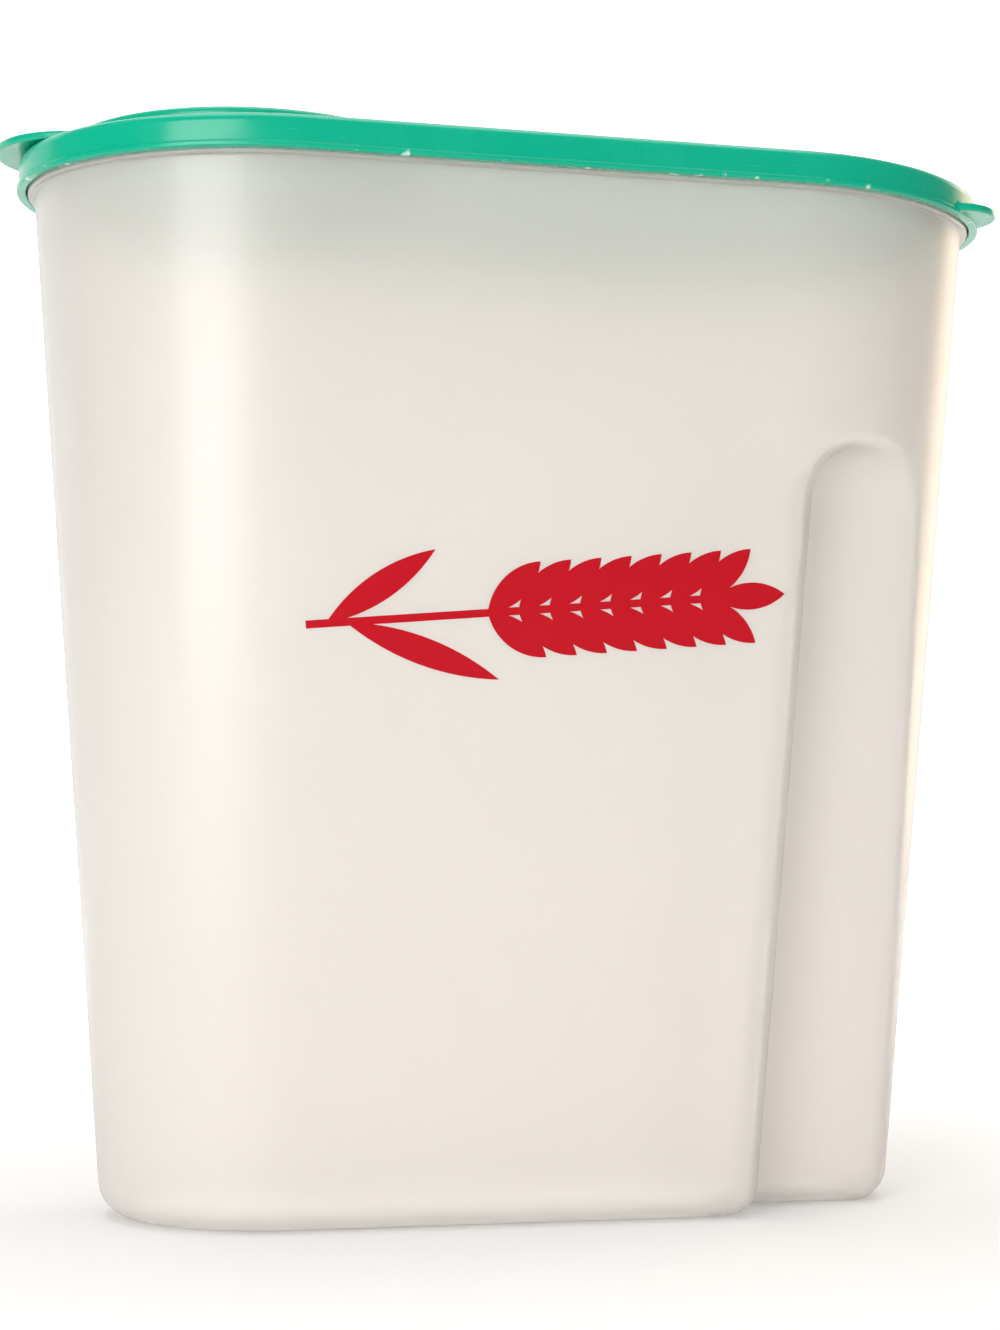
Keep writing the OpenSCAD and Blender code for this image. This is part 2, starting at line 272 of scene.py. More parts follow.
class Fit:
    """Heights and reaches that the lid and the flip cap share."""

    def __init__(self, groups):
        body, lid, cap = groups.container, groups.lid, groups.cap
        plan = Plan(body, lid)
        self.plan = plan
        self.top = plan.line + lid.height
        self.skirt_in = body.rim_out + lid.rim_gap
        self.skirt_out = plan.skirt_out
        self.roof = CONTAINER_HIGH[2] + lid.roof_gap
        self.seal_out = -body.wall * math.hypot(1, body.draft) - lid.seal_gap
        self.seal_in = self.seal_out - lid.seal
        self.seal_bottom = self.top - lid.seal_depth
        self.panel_top = self.top - lid.panel_drop
        self.panel_bottom = self.panel_top - lid.panel
        self.spout_x = -(plan.end_x - lid.spout_in)
        self.cap_r = plan.half_w + self.seal_in - cap.side
        self.spout_r = self.cap_r - lid.spout_edge
        self.collar_out = self.spout_r + lid.collar
        self.collar_bottom = self.top - lid.collar_depth
        self.cap_top = self.top + cap.height
        self.cap_plate = self.cap_top - cap.plate
        self.collar_top = self.cap_plate - cap.gap
        self.cap_bottom = self.panel_top + cap.gap
        self.cap_in = self.cap_r - cap.skirt
        self.cap_mid = self.cap_r - cap.skirt / 2
        self.plug_out = self.spout_r - cap.plug_gap
        self.plug_in = self.plug_out - cap.plug
        self.plug_bottom = self.cap_plate - cap.plug_depth
        self.thumb_bottom = self.top + cap.gap
        self.thumb_x = -(plan.half_l + self.skirt_out + cap.thumb_out - cap.thumb_radius)
        self.hinge_x = self.spout_x + self.cap_r + cap.hinge_out
        self.hinge_z = self.panel_top + cap.barrel_gap + cap.barrel
        self.post_in = cap.barrel_half + cap.post_gap
        self.post_out = self.post_in + cap.post
        self.hole = cap.pin + cap.pin_gap
        self.post_r = self.hole + cap.post_wall


def rounded(corners, steps=5, most=0.49):
    """A line of [across, z] points with each corner (across, z, radius) rounded off by an arc.

    An arc takes no more than the share most of a side.
    """
    flat = [np.array(corner[:2], float) for corner in corners]
    points = []
    for i, (_, _, radius) in enumerate(corners):
        here = flat[i]
        if radius <= 0 or i in (0, len(corners) - 1):
            points.append(here)
            continue
        back = flat[i - 1] - here
        ahead = flat[i + 1] - here
        back_l = np.linalg.norm(back)
        ahead_l = np.linalg.norm(ahead)
        back = back / back_l
        ahead = ahead / ahead_l
        half = math.acos(max(-1.0, min(1.0, float(back @ ahead)))) / 2
        run = min(radius / math.tan(half), most * back_l, most * ahead_l)
        radius = run * math.tan(half)
        middle = here + (back + ahead) / np.linalg.norm(back + ahead) * radius / math.sin(half)
        first = here + back * run - middle
        last = here + ahead * run - middle
        start = math.atan2(first[1], first[0])
        sweep = math.atan2(last[1], last[0]) - start
        sweep = (sweep + math.pi) % FULL_TURN - math.pi
        for k in range(steps + 1):
            angle = start + sweep * k / steps
            points.append(middle + radius * np.array([math.cos(angle), math.sin(angle)]))
    return np.array(points)


# --- Mesh parts ---


class Parts:
    """Vertices and faces collected for one piece."""

    def __init__(self):
        self.points = []
        self.faces = []
        self.count = 0

    def add(self, points, faces):
        """Adds points and faces, and returns the number of the first new point."""
        first = self.count
        points = np.asarray(points, float).reshape(-1, 3)
        self.points.append(points)
        self.faces += [tuple(int(i) + first for i in face) for face in faces]
        self.count += len(points)
        return first

    def rings(self, rows, closed=False):
        """Joins rows of points, each once round, with quads. Returns the number of the first new point."""
        n = len(rows[0])
        faces = []
        for j in range(len(rows) if closed else len(rows) - 1):
            a = j * n
            b = (j + 1) % len(rows) * n
            faces += [(a + i, a + (i + 1) % n, b + (i + 1) % n, b + i) for i in range(n)]
        return self.add(rows, faces)

    def solid(self, rows):
        """Joins rows of points, each once round, and closes the first and the last with flat faces."""
        self.rings(rows)
        for row in (rows[0], rows[-1]):
            self.add(row, [range(len(row))])

    def flat(self, loops):
        """Fills the flat space between loops of points at one height."""
        points = np.concatenate(loops)
        work = bmesh.new()
        verts = [work.verts.new(p) for p in points]
        edges = []
        first = 0
        for loop in loops:
            n = len(loop)
            edges += [work.edges.new((verts[first + i], verts[first + (i + 1) % n])) for i in range(n)]
            first += n
        bmesh.ops.triangle_fill(work, use_beauty=True, use_dissolve=False, edges=edges, normal=(0, 0, 1))
        work.verts.index_update()
        faces = [[v.index for v in f.verts] for f in work.faces]
        filled = [(v.co.x, v.co.y, points[0][2]) for v in work.verts]
        work.free()
        self.add(filled, faces)

    def mesh(self, name):
        """The mesh of everything collected."""
        mesh = bpy.data.meshes.new(name)
        mesh.from_pydata(np.concatenate(self.points).tolist(), [], self.faces)
        return mesh

    def moulding(self, name):
        """The piece, welded, faced outwards and shaded so that its small radii carry the turns."""
        mesh = self.mesh(name)
        work = bmesh.new()
        work.from_mesh(mesh)
        bmesh.ops.remove_doubles(work, verts=work.verts, dist=WELD)
        bmesh.ops.recalc_face_normals(work, faces=work.faces)
        for face in work.faces:
            face.smooth = True
        work.to_mesh(mesh)
        work.free()
        piece = placed(name, mesh)
        shading = piece.modifiers.new("shading", "WEIGHTED_NORMAL")
        shading.mode = "FACE_AREA"
        shading.weight = 100
        return piece


def placed(name, data):
    """A new object in the scene."""
    piece = bpy.data.objects.new(name, data)
    bpy.context.scene.collection.objects.link(piece)
    return piece


def around(steps):
    """Angles once round."""
    return np.linspace(0, FULL_TURN, steps, endpoint=False)


def swept(ring, profile):
    """Rows of points that follow the body's plan, one for each [across, z] point of the profile."""
    base, normal = ring
    return [np.column_stack([base + across * normal, np.full(len(base), z)]) for across, z in profile]


def turned(x, profile, steps=144):
    """Rows of points turned about a vertical line, one for each [radius, z] point of the profile."""
    angle = around(steps)
    return [
        np.column_stack([x + radius * np.cos(angle), radius * np.sin(angle), np.full(steps, z)])
        for radius, z in profile
    ]


def turned_y(x, z, profile, steps=48):
    """Rows of points turned about a line along Y, one for each [radius, y] point of the profile."""
    angle = around(steps)
    return [
        np.column_stack([x + radius * np.cos(angle), np.full(steps, y), z + radius * np.sin(angle)])
        for radius, y in profile
    ]


def crescent(parts, middle, radius, wall, sink, low, high, edge, cove=0.0):
    """Adds a round tab that stands out from a curved wall.

    wall gives distances and normals at points. sink is the depth inside it at which the tab starts, edge the
    radius of the tab's own edges, and cove that of its corners with the wall.
    """
    steps = 56
    search_steps = 2000
    flats = 12
    thinnest = 0.02 * MM
    middle = np.array(middle)
    _, facing = wall(middle[None])
    ahead = math.atan2(facing[0][1], facing[0][0])

    def rim(angle):
        return middle + radius * np.column_stack([np.cos(angle), np.sin(angle)])

    turns = []
    for side in (-1, 1):
        angle = ahead + side * np.linspace(0, math.pi, search_steps)
        distance, _ = wall(rim(angle))
        turns.append(angle[np.argmax(distance < -sink) - 1])
    points = rim(np.linspace(*turns, steps))
    distance, normal = wall(points)
    inner = np.linspace(0, 1, flats + 2)[1:-1, None]
    rows = []
    for point, run, out in zip(points, distance + sink, normal):
        run = max(run, thinnest)
        bevel = min(edge, 0.9 * run, (high - low) / 2)
        section = rounded([(0, low, 0), (run, low, bevel), (run, high, bevel), (0, high, 0)], 4)
        bottom = section[0] + inner * (section[1] - section[0])
        top = section[-2] + inner * (section[-1] - section[-2])
        section = np.concatenate([section[:1], bottom, section[1:-1], top, section[-1:]])
        if cove:
            off = np.clip(cove - (section[:, 0] - sink), 0, cove)
            rise = cove - np.sqrt(cove**2 - off**2)
            section[:, 1] += np.where(section[:, 1] > (low + high) / 2, rise, -rise)
        rows.append(np.column_stack([point + (section[:, :1] - run) * out, section[:, 1]]))
    parts.solid(rows)


# --- The body's surface ---


def fillet(a, b, radius):
    """The meeting of two distances, both to be inside, with its edge rounded to a radius."""
    round_off = np.hypot(np.maximum(a + radius, 0), np.maximum(b + radius, 0)) - radius
    return np.where((a > -radius) & (b > -radius), round_off, np.maximum(a, b))


class Body:
    """The body's outer and inner surfaces, as signed distances."""

    def __init__(self, sizes, plan):
        self.sizes = sizes
        self.plan = plan
        self.slant = math.hypot(1, sizes.draft)
        self.arch_left = plan.half_l - sizes.grip_arch_x
        self.foot_left = plan.half_l - sizes.grip_foot_x
        self.arch_z = sizes.arch_top - sizes.arch
        self.left_lean = (self.arch_left - self.foot_left) / self.arch_z
        self.left_slant = math.hypot(1, self.left_lean)
        self.grip_slant = math.hypot(1, sizes.grip_draft)

    def wall(self, x, y, z):
        """Distance out from the drafted wall."""
        return (self.plan.distance(x, y) + self.sizes.draft * (self.plan.line - z)) / self.slant

    def recess(self, x, y, z):
        """Distance out from the grip recess, which is cut into both sides."""
        s = self.sizes
        middle = self.arch_left + s.arch
        left = (self.foot_left + self.left_lean * z - x) / self.left_slant
        right = x - (middle + s.arch)
        arch = np.hypot(x - middle, z - self.arch_z) - s.arch
        front_view = np.where(z > self.arch_z, arch, np.maximum(left, right))
        depth = (s.grip_half + s.grip_draft * z - np.abs(y)) / self.grip_slant
        side_view = fillet(depth, z - s.arch_top, s.ceiling)
        return fillet(front_view, side_view, s.cove)

    def sides(self, x, y, z):
        """Distance out from the walls with the recess cut in."""
        return fillet(self.wall(x, y, z), -self.recess(x, y, z), self.sizes.lip)

    def outer(self, x, y, z):
        """Distance out from the body's outside."""
        return fillet(self.sides(x, y, z), -z, self.sizes.foot)

    def inner(self, x, y, z):
        """Distance out from the space inside the body."""
        s = self.sizes
        return fillet(self.sides(x, y, z) + s.wall, s.floor - z, s.foot - s.wall)


def gradient(surface, points, step=2e-5):
    """Slope of a signed distance at each point."""
    slope = np.empty_like(points)
    for axis in range(3):
        ahead = points.copy()
        back = points.copy()
        ahead[:, axis] += step
        back[:, axis] -= step
        slope[:, axis] = (surface(*ahead.T) - surface(*back.T)) / (2 * step)
    return slope


def settle(surface, points, rounds=5):
    """Moves points onto a surface along its slope."""
    for _ in range(rounds):
        slope = gradient(surface, points)
        points = points - (surface(*points.T) / np.maximum((slope**2).sum(1), 1e-6))[:, None] * slope
    return points


def net(surface, low, high, cell):
    """Points, outward normals and quads over a surface in a box, with one point in each cell it crosses."""
    counts = [math.ceil((high[a] - low[a]) / cell) + 1 for a in range(3)]
    axes = [low[a] + cell * np.arange(counts[a]) for a in range(3)]
    value = surface(*np.meshgrid(*axes, indexing="ij"))
    inside = value < 0
    cells = np.array(counts) - 1
    total = np.zeros((*cells, 3))
    hits = np.zeros(cells)
    stacks = []
    for axis in range(3):
        first = tuple(slice(0, -1) if a == axis else slice(None) for a in range(3))
        second = tuple(slice(1, None) if a == axis else slice(None) for a in range(3))
        crossed = np.argwhere(inside[first] != inside[second])
        a = value[first][tuple(crossed.T)]
        b = value[second][tuple(crossed.T)]
        place = crossed.astype(float)
        place[:, axis] += a / (a - b)
        one, two = [other for other in range(3) if other != axis]
        stack = []
        for shift_one, shift_two in ((0, 0), (-1, 0), (-1, -1), (0, -1)):
            near = crossed.copy()
            near[:, one] += shift_one
            near[:, two] += shift_two
            fits = ((near >= 0) & (near < cells)).all(1)
            keys = tuple(near[fits].T)
            np.add.at(hits, keys, 1)
            np.add.at(total, keys, place[fits])
            stack.append(near)
        stacks.append(np.stack(stack, axis=1))
    used = hits > 0
    ids = np.full(hits.shape, -1)
    ids[used] = np.arange(used.sum())
    points = settle(surface, low + cell * total[used] / hits[used][:, None])
    normals = gradient(surface, points)
    normals /= np.linalg.norm(normals, axis=1)[:, None]
    quads = []
    for stack in stacks:
        fits = ((stack >= 0) & (stack < cells)).all((1, 2))
        corners = ids[tuple(stack[fits].transpose(2, 0, 1))]
        across = points[corners[:, 2]] - points[corners[:, 0]]
        along = points[corners[:, 3]] - points[corners[:, 1]]
        flip = (np.cross(across, along) * normals[corners].sum(1)).sum(1) < 0
        corners[flip] = corners[flip][:, ::-1]
        quads.append(corners)
    return points, normals, np.concatenate(quads)


def open_edge(quads):
    """The points along the one open edge of a net, in order."""
    sides = {tuple(side) for k in range(4) for side in quads[:, [k, (k + 1) % 4]].tolist()}
    following = dict(side for side in sides if side[::-1] not in sides)
    loop = [min(following)]
    while following[loop[-1]] != loop[0]:
        loop.append(following[loop[-1]])
    if len(loop) != len(following):
        raise RuntimeError("the net has more than one open edge")
    return loop


def zipped(lower, lower_points, upper, upper_points):
    """Triangles between two loops of point numbers that both run once round the body."""

    def ordered(ids, points):
        turn = np.arctan2(points[:, 1], points[:, 0])
        order = np.argsort(turn)
        first = order[0]
        return [ids[i] for i in order] + [ids[first]], np.append(turn[order], turn[first] + FULL_TURN)

    low_ids, low_turn = ordered(lower, lower_points)
    high_ids, high_turn = ordered(upper, upper_points)
    faces = []
    i = j = 0
    while i < len(lower) or j < len(upper):
        if j == len(upper) or (i < len(lower) and low_turn[i + 1] <= high_turn[j + 1]):
            faces.append((low_ids[i], low_ids[i + 1], high_ids[j]))
            i += 1
        else:
            faces.append((low_ids[i], high_ids[j + 1], high_ids[j]))
            j += 1
    return faces


# --- Materials ---


class Graph:
    """Adds nodes to a tree."""

    def __init__(self, tree):
        self.nodes = tree.nodes
        self.links = tree.links

    def feed(self, node, inputs):
        """Feeds inputs, each by its name or number, from another node's output or with a plain value."""
        for name, source in inputs.items():
            if isinstance(source, bpy.types.NodeSocket):
                self.links.new(source, node.inputs[name])
            else:
                node.inputs[name].default_value = source

    def add(self, kind, inputs=None, **options):
        """A new node with its options and inputs."""
        node = self.nodes.new(kind)
        for name, value in options.items():
            setattr(node, name, value)
        self.feed(node, inputs or {})
        return node

    def math(self, operation, *sources):
        """The result of a Math node."""
        return self.add("ShaderNodeMath", dict(enumerate(sources)), operation=operation).outputs[0]

    def place(self):
        """The place on the piece, in metres."""
        return self.add("ShaderNodeTexCoord").outputs["Object"]


def new_material(name):
    """A material with its graph and its Principled shader."""
    material = bpy.data.materials.new(name)
    material.use_nodes = True
    material.node_tree.nodes.clear()
    graph = Graph(material.node_tree)
    shader = graph.add("ShaderNodeBsdfPrincipled")
    graph.add("ShaderNodeOutputMaterial", {"Surface": shader.outputs["BSDF"]})
    return material, graph, shader


def moulded_group():
    """The look that moulded plastic shares: soft flow clouds, fine haze and hairline scuffs."""
    name = "moulded_plastic"
    if name in bpy.data.node_groups:
        return bpy.data.node_groups[name]
    group = bpy.data.node_groups.new(name, "ShaderNodeTree")
    for way, labels in (
        ("INPUT", ("Tone", "Roughness", "Roughness Spread", "Cloud Scale", "Scuffs", "Ripple", "Color")),
        ("OUTPUT", ("Color", "Roughness", "Height")),
    ):
        for label in labels:
            kind = "NodeSocketColor" if label == "Color" else "NodeSocketFloat"
            group.interface.new_socket(name=label, in_out=way, socket_type=kind)
    graph = Graph(group)
    given = graph.add("NodeGroupInput").outputs
    place = graph.place()

    def noise(scale, detail, distortion=0.0, stretch=(1, 1, 1)):
        stretched = graph.add("ShaderNodeMapping", {"Vector": place, "Scale": stretch})
        spot = stretched.outputs["Vector"]
        return graph.add("ShaderNodeTexNoise", {
            "Vector": spot, "Scale": scale, "Detail": detail, "Distortion": distortion,
        }).outputs["Fac"]

    def lines(pattern):
        ramp = graph.add("ShaderNodeValToRGB", {"Fac": pattern})
        ramp.color_ramp.elements[0].position = 0.66
        ramp.color_ramp.elements[1].position = 0.72
        return ramp.outputs["Color"]

    def varied(level, spread):
        level = graph.math("MULTIPLY_ADD", clouds, spread, level)
        return graph.math("MULTIPLY_ADD", marks, spread, level)

    clouds = graph.math("SUBTRACT", noise(given["Cloud Scale"], 3.0, 0.6), 0.5)
    haze = noise(420.0, 2.0)
    flow = noise(9.0, 2.0, 1.2, (1, 1, 0.25))
    flat_scuffs = lines(noise(60.0, 2.0, 0.0, (1, 1, 22)))
    upright_scuffs = lines(noise(75.0, 2.0, 0.3, (14, 14, 1)))
    marks = graph.math("MULTIPLY", graph.math("MAXIMUM", flat_scuffs, upright_scuffs), given["Scuffs"])
    tone = varied(1.0, given["Tone"])
    toned = graph.add("ShaderNodeVectorMath", {0: given["Color"], "Scale": tone}, operation="SCALE")
    height = graph.math("MULTIPLY_ADD", haze, 0.006, graph.math("MULTIPLY", flow, given["Ripple"]))
    graph.add("NodeGroupOutput", {
        "Color": toned.outputs[0],
        "Roughness": varied(given["Roughness"], given["Roughness Spread"]),
        "Height": graph.math("MULTIPLY_ADD", marks, -0.01, height),
    })
    return group


def moulded(name, tint, bump, skin, **look):
    """A material with the moulded look under its own values. skin holds the shader's plain values."""
    material, graph, shader = new_material(name)
    look = {label.replace("_", " "): value for label, value in look.items()}
    plastic = graph.add("ShaderNodeGroup", {"Color": tint, **look}, node_tree=moulded_group()).outputs
    relief = graph.add("ShaderNodeBump", {"Distance": bump, "Height": plastic["Height"]})
    graph.feed(shader, {
        "Base Color": plastic["Color"],
        "Roughness": plastic["Roughness"],
        "Normal": relief.outputs["Normal"],
        **skin,
    })
    return material, graph, shader


def natural_plastic(tint):
    """Milky, translucent polypropylene with a glossy skin."""
    skin = {
        "IOR": 1.49,
        "Transmission Weight": 0.62,
        "Specular IOR Level": 0.4,
        "Coat Weight": 0.1,
        "Coat Roughness": 0.1,
        "Coat IOR": 1.5,
    }
    return moulded(
        "natural_plastic", tint, 0.0006, skin,
        Tone=0.05, Roughness=0.36, Roughness_Spread=0.12, Cloud_Scale=11.0, Scuffs=0.4, Ripple=0.35,
    )[0]


def green_plastic(name, tint):
    """Glossy green polyethylene, with its graph and shader."""
    return moulded(
        name, tint, 0.0004, {"IOR": 1.5, "Specular IOR Level": 0.35},
        Tone=0.08, Roughness=0.24, Roughness_Spread=0.3, Cloud_Scale=75.0, Scuffs=0.12, Ripple=0.25,
    )


def ink(tint):
    """Glossy screen ink with a little pinholing and streaking."""
    return moulded(
        "ink", tint, 0.0002, {"IOR": 1.5, "Specular IOR Level": 0.2},
        Tone=0.12, Roughness=0.3, Roughness_Spread=0.15, Cloud_Scale=60.0, Scuffs=0.8, Ripple=0.1,
    )[0]


def worn_edge(graph, shader, low, high, spout, clear):
    """Small pale nicks between two heights, but not near the pour opening."""
    place = graph.place()

    def ramp(source, first, last):
        """0 at the first value and 1 at the last."""
        node = graph.add("ShaderNodeMapRange", {"Value": source, "From Min": first, "From Max": last})
        return node.outputs["Result"]

    height = graph.add("ShaderNodeSeparateXYZ", {0: place}).outputs["Z"]
    chips = graph.add("ShaderNodeTexNoise", {"Vector": place, "Scale": 210.0, "Detail": 1.0}).outputs["Fac"]
    away = graph.add("ShaderNodeVectorMath", {0: place, 1: spout}, operation="DISTANCE").outputs["Value"]
    # Only the highest peaks of the noise chip the edge.
    mask = graph.math("MULTIPLY", ramp(height, high, low), ramp(chips, 0.69, 0.74))
    mask = graph.math("MULTIPLY", mask, ramp(away, clear, 1.02 * clear))
    worn = graph.add("ShaderNodeMixRGB", {
        "Fac": mask,
        "Color1": shader.inputs["Base Color"].links[0].from_socket,
        "Color2": (linear(205), linear(238), linear(226), 1),
    })
    graph.feed(shader, {"Base Color": worn.outputs["Color"]})


# --- Operators ---


class MakeContainer(bpy.types.Operator):
    """Builds the translucent body with its rim bead and grip recesses"""

    bl_idname = "cereal.make_container"
    bl_label = "Container"

    def execute(self, context):
        groups = settings(context)
        sizes = groups.container
        plan = Plan(sizes, groups.lid)
        body = Body(sizes, plan)
        net_drop = 5 * MM
        join = CONTAINER_HIGH[2] - sizes.rim_height - net_drop
        margin = 3 * sizes.cell
        low = np.array([-plan.half_l - margin, -plan.half_w - margin, -margin])
        high = np.array([plan.half_l + margin, plan.half_w + margin, join])
        parts = Parts()
        facing = []
        edges = []
        for surface, sign in ((body.outer, 1), (body.inner, -1)):
            points, normals, quads = net(surface, low, high, sizes.cell)
            quads = quads[:, ::sign]
            first = parts.add(points, quads)
            edge = open_edge(quads)
            edges.append(([first + i for i in edge], points[edge]))
            facing.append(sign * normals)
        rows = swept(plan.ring(), self.rim(sizes, body, join))
        first = parts.rings(rows)
        n = len(rows[0])
        parts.faces += zipped(*edges[0], range(first, first + n), rows[0])
        first += n * (len(rows) - 1)
        parts.faces += [face[::-1] for face in zipped(*edges[1], range(first, first + n), rows[-1])]
        piece = placed("container_shell", self.shaded(parts.mesh("container_shell"), facing))
        piece.data.materials.append(natural_plastic(sizes.tint))
        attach(piece, "container")
        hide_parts("container")
        return {"FINISHED"}

    def rim(self, sizes, body, join):
        """The profile of the rim bead, from the outside over to the inside, above the height join."""
        strip = 2 * MM
        under = 0.4 * MM
        top = CONTAINER_HIGH[2]
        bottom = top - sizes.rim_height
        start = join + strip
        inside = -sizes.wall * body.slant

        def across(z):
            return -sizes.draft * (body.plan.line - z)

        # The inside of the strip rises straight up from the wall at the height join.
        return rounded([
            (across(start), start, 0),
            (across(bottom), bottom, under),
            (sizes.rim_out, bottom, sizes.rim_round),
            (sizes.rim_out, top, sizes.rim_round),
            (across(top) + inside, top, sizes.rim_round),
            (across(join) + inside, start, 0),
        ])

    def shaded(self, mesh, facing):
        """Gives the nets, which come first in the mesh, the true normals of their surfaces."""
        mesh.validate()
        mesh.shade_smooth()
        normals = np.empty(3 * len(mesh.vertices))
        mesh.vertices.foreach_get("normal", normals)
        normals = normals.reshape(-1, 3)
        facing = np.concatenate(facing)
        normals[:len(facing)] = facing
        mesh.normals_split_custom_set_from_vertices(normals.tolist())
        return mesh


class MakePrint(bpy.types.Operator):
    """Gives the printed sprig its ink"""

    bl_idname = "cereal.make_print"
    bl_label = "Print"

    def execute(self, context):
        material = ink(settings(context).print.tint)
        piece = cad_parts["front_print"]
        if not piece.material_slots:
            piece.data.materials.append(material)
        for slot in piece.material_slots:
            slot.link = "OBJECT"
            slot.material = material
        return {"FINISHED"}


class MakeLid(bpy.types.Operator):
    """Builds the green lid with its skirt, panel, collar, hinge posts and lift tab"""

    bl_idname = "cereal.make_lid"
    bl_label = "Lid"

    def execute(self, context):
        groups = settings(context)
        lid = groups.lid
        fit = Fit(groups)
        parts = Parts()
        self.panel_and_ring(parts, fit, lid)
        self.lift_tab(parts, fit, lid)
        for side in (-1, 1):
            self.post(parts, fit, side)
        piece = parts.moulding("lid_moulding")
        green, graph, shader = green_plastic("lid_green", lid.tint)
        low = fit.plan.line
        worn_edge(graph, shader, low, low + lid.bead_height, (fit.spout_x, 0, low), fit.cap_r)
        piece.data.materials.append(green)
        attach(piece, "lid")
        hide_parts("lid")
        return {"FINISHED"}

    def panel_and_ring(self, parts, fit, lid):
        """The skirt, the channel over the rim, the seal ring, the panel and the collar, in one skin."""
        small = 0.5 * MM
        ring_flat = 2 * MM
        collar_flat = 1 * MM
        low = fit.plan.line
        bead_out = fit.skirt_out + lid.bead_out
        bead_top = low + lid.bead_height
        ring_line = rounded([
            (fit.seal_in - ring_flat, fit.panel_top, 0),
            (fit.seal_in, fit.panel_top, small),
            (fit.seal_in, fit.top, small),
            (fit.skirt_out, fit.top, lid.edge),
            (fit.skirt_out, bead_top, small / 2),
            (bead_out, bead_top - lid.bead_out, small / 2),
            (bead_out, low, small),
            (fit.skirt_in, low, small),
            (fit.skirt_in, fit.roof, small),
            (fit.seal_out, fit.roof, small),
            (fit.seal_out, fit.seal_bottom, small),
            (fit.seal_in, fit.seal_bottom, small),
            (fit.seal_in, fit.panel_bottom, small),
            (fit.seal_in - ring_flat, fit.panel_bottom, 0),
        ])
        collar_line = rounded([
            (fit.collar_out + collar_flat, fit.panel_top, 0),
            (fit.collar_out, fit.panel_top, small),
            (fit.collar_out, fit.collar_top, small),
            (fit.spout_r, fit.collar_top, small),
            (fit.spout_r, fit.collar_bottom, small),
            (fit.collar_out, fit.collar_bottom, small),
            (fit.collar_out, fit.panel_bottom, small),
            (fit.collar_out + collar_flat, fit.panel_bottom, 0),
        ])
        ring = swept(fit.plan.ring(24, 28, 24), ring_line)
        collar = turned(fit.spout_x, collar_line)
        parts.rings(ring)
        parts.rings(collar)
        parts.flat([ring[0], collar[0]])
        parts.flat([ring[-1], collar[-1]])

    def lift_tab(self, parts, fit, lid):
        """The small round tab at the front corner of the grip end."""
        plan = fit.plan
        reach = plan.end_r + fit.skirt_out + lid.lift_out - lid.lift_radius
        middle = (plan.end_x + reach * math.cos(lid.lift_angle), -reach * math.sin(lid.lift_angle))
        low = plan.line + lid.lift_up

        def wall(points):
            step = 1e-6
            x, y = points.T
            distance = plan.distance(x, y)
            slope_x = plan.distance(x + step, y) - distance
            slope_y = plan.distance(x, y + step) - distance
            return distance - fit.skirt_out, np.column_stack([slope_x, slope_y]) / step

        crescent(
            parts, middle, lid.lift_radius, wall, lid.skirt / 2,
            low, low + lid.lift_thick, edge=0.6 * MM, cove=0.8 * MM,
        )

    def post(self, parts, fit, side):
        """A hinge post with a hole for the cap's trunnion, round above the hinge line and square below."""
        steps = 64
        bevel = 0.35 * MM
        sunk = 1 * MM
        depth = fit.hinge_z - fit.panel_top + sunk
        least = 1e-9
        angle = around(steps)
        square = np.minimum(
            fit.post_r / np.maximum(np.abs(np.cos(angle)), least),
            depth / np.maximum(np.abs(np.sin(angle)), least),
        )
        outline = np.where(np.sin(angle) > 0, fit.post_r, square)
        profile = (
            (fit.hole, fit.post_in + bevel),
            (fit.hole + bevel, fit.post_in),
            (outline - bevel, fit.post_in),
            (outline, fit.post_in + bevel),
            (outline, fit.post_out - bevel),
            (outline - bevel, fit.post_out),
            (fit.hole + bevel, fit.post_out),
            (fit.hole, fit.post_out - bevel),
        )
        rows = turned_y(fit.hinge_x, fit.hinge_z, [(radius, side * y) for radius, y in profile], steps)
        parts.rings(rows, closed=True)


